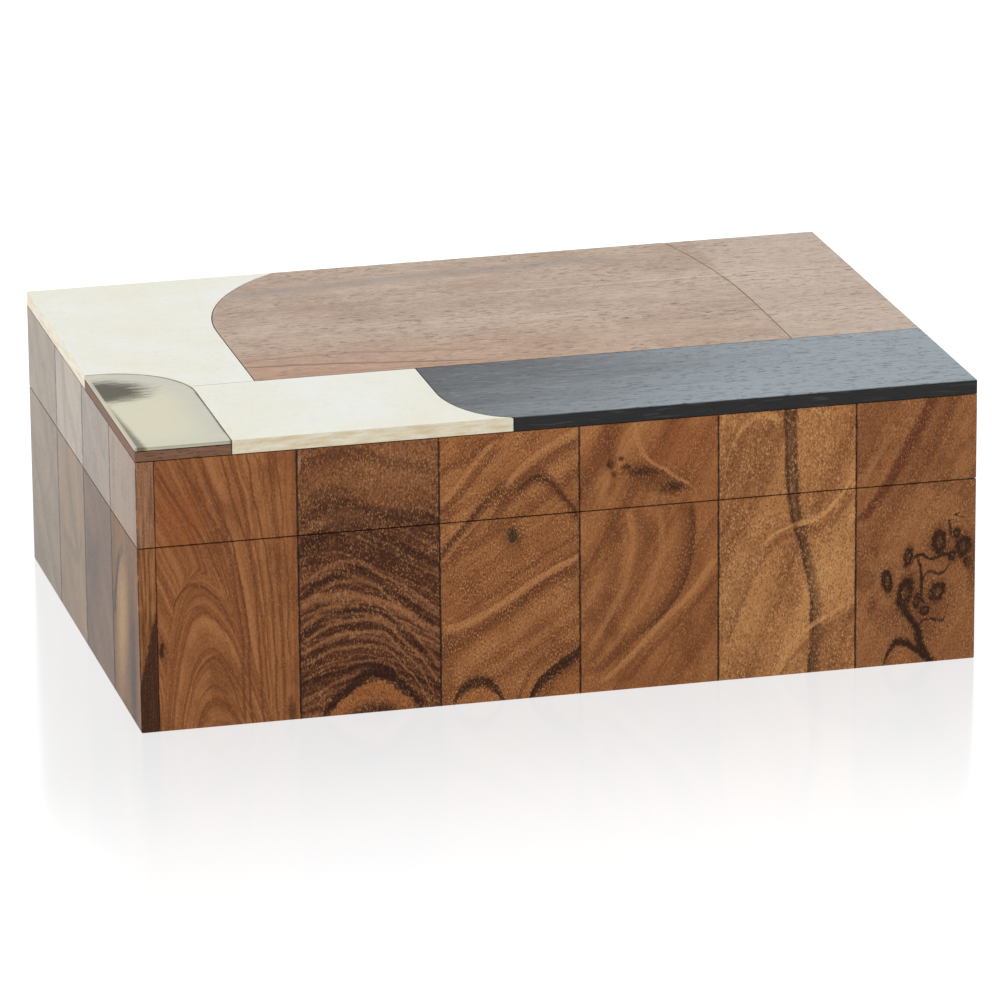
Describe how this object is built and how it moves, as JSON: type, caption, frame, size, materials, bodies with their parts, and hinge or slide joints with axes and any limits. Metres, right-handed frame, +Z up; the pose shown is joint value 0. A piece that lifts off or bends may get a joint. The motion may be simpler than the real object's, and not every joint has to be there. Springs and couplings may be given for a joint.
{
  "type": "inlaid wooden box",
  "caption": "Rectangular wooden box clad in upright wood tiles, with a hinged lid inlaid with bone, wood, ebony and a brass corner plate.",
  "frame": {"origin": "middle of the box's underside", "axes": "+X to the right along the front, +Y to the back where the hinges are, +Z up"},
  "size_m": [0.254, 0.1759, 0.087],
  "materials": {
    "golden_tile_wood": "satin lacquer",
    "reddish_tile_wood": "satin lacquer",
    "dark_tile_wood": "satin lacquer",
    "pale_tile_wood": "satin lacquer",
    "burl_tile_wood": "satin lacquer",
    "panel_wood": "satin lacquer, open grain",
    "packing_wood": "bare",
    "ebony": "black, brushed satin",
    "bone": "polished bone",
    "brass": "rubbed, slightly aged",
    "hinge_brass": "satin",
    "core_board": "stained dark",
    "felt": "short felt"
  },
  "bodies": {
    "base": {"base_front_tile_1": "reddish_tile_wood", "base_front_tile_2": "dark_tile_wood", "base_front_tile_3": "golden_tile_wood", "base_front_tile_4": "golden_tile_wood", "base_front_tile_5": "pale_tile_wood", "base_front_tile_6": "burl_tile_wood", "base_back_tile_1": "golden_tile_wood", "base_back_tile_2": "pale_tile_wood", "base_back_tile_3": "reddish_tile_wood", "base_back_tile_4": "golden_tile_wood", "base_back_tile_5": "dark_tile_wood", "base_back_tile_6": "golden_tile_wood", "base_left_tile_1": "golden_tile_wood", "base_left_tile_2": "reddish_tile_wood", "base_left_tile_3": "golden_tile_wood", "base_left_tile_4": "pale_tile_wood", "base_right_tile_1": "reddish_tile_wood", "base_right_tile_2": "golden_tile_wood", "base_right_tile_3": "dark_tile_wood", "base_right_tile_4": "golden_tile_wood", "base_wall_frame": "core_board", "base_bottom_board": "core_board", "base_felt_lining": "felt", "left_hinge_base_leaf": "hinge_brass", "left_hinge_pin": "hinge_brass", "right_hinge_base_leaf": "hinge_brass", "right_hinge_pin": "hinge_brass"},
    "lid": {"lid_front_tile_1": "reddish_tile_wood", "lid_front_tile_2": "dark_tile_wood", "lid_front_tile_3": "golden_tile_wood", "lid_front_tile_4": "golden_tile_wood", "lid_front_tile_5": "pale_tile_wood", "lid_front_tile_6": "burl_tile_wood", "lid_back_tile_1": "golden_tile_wood", "lid_back_tile_2": "pale_tile_wood", "lid_back_tile_3": "reddish_tile_wood", "lid_back_tile_4": "golden_tile_wood", "lid_back_tile_5": "dark_tile_wood", "lid_back_tile_6": "golden_tile_wood", "lid_left_tile_1": "golden_tile_wood", "lid_left_tile_2": "reddish_tile_wood", "lid_left_tile_3": "golden_tile_wood", "lid_left_tile_4": "pale_tile_wood", "lid_right_tile_1": "reddish_tile_wood", "lid_right_tile_2": "golden_tile_wood", "lid_right_tile_3": "dark_tile_wood", "lid_right_tile_4": "golden_tile_wood", "lid_wall_frame": "core_board", "lid_top_board": "core_board", "lid_felt_lining": "felt", "bone_panel_back": "bone", "bone_panel_front": "bone", "wood_panel_main": "panel_wood", "wood_panel_end": "panel_wood", "ebony_strip": "ebony", "brass_corner_plate": "brass", "brass_packing": "packing_wood", "left_hinge_lid_leaf": "hinge_brass", "right_hinge_lid_leaf": "hinge_brass"}
  },
  "joints": [
    {"name": "lid_hinge", "type": "hinge", "parent": "base", "child": "lid", "pos_m": [0, 0.0881, 0.0564], "axis": [-1, 0, 0], "range_deg": [0, 100]}
  ]
}
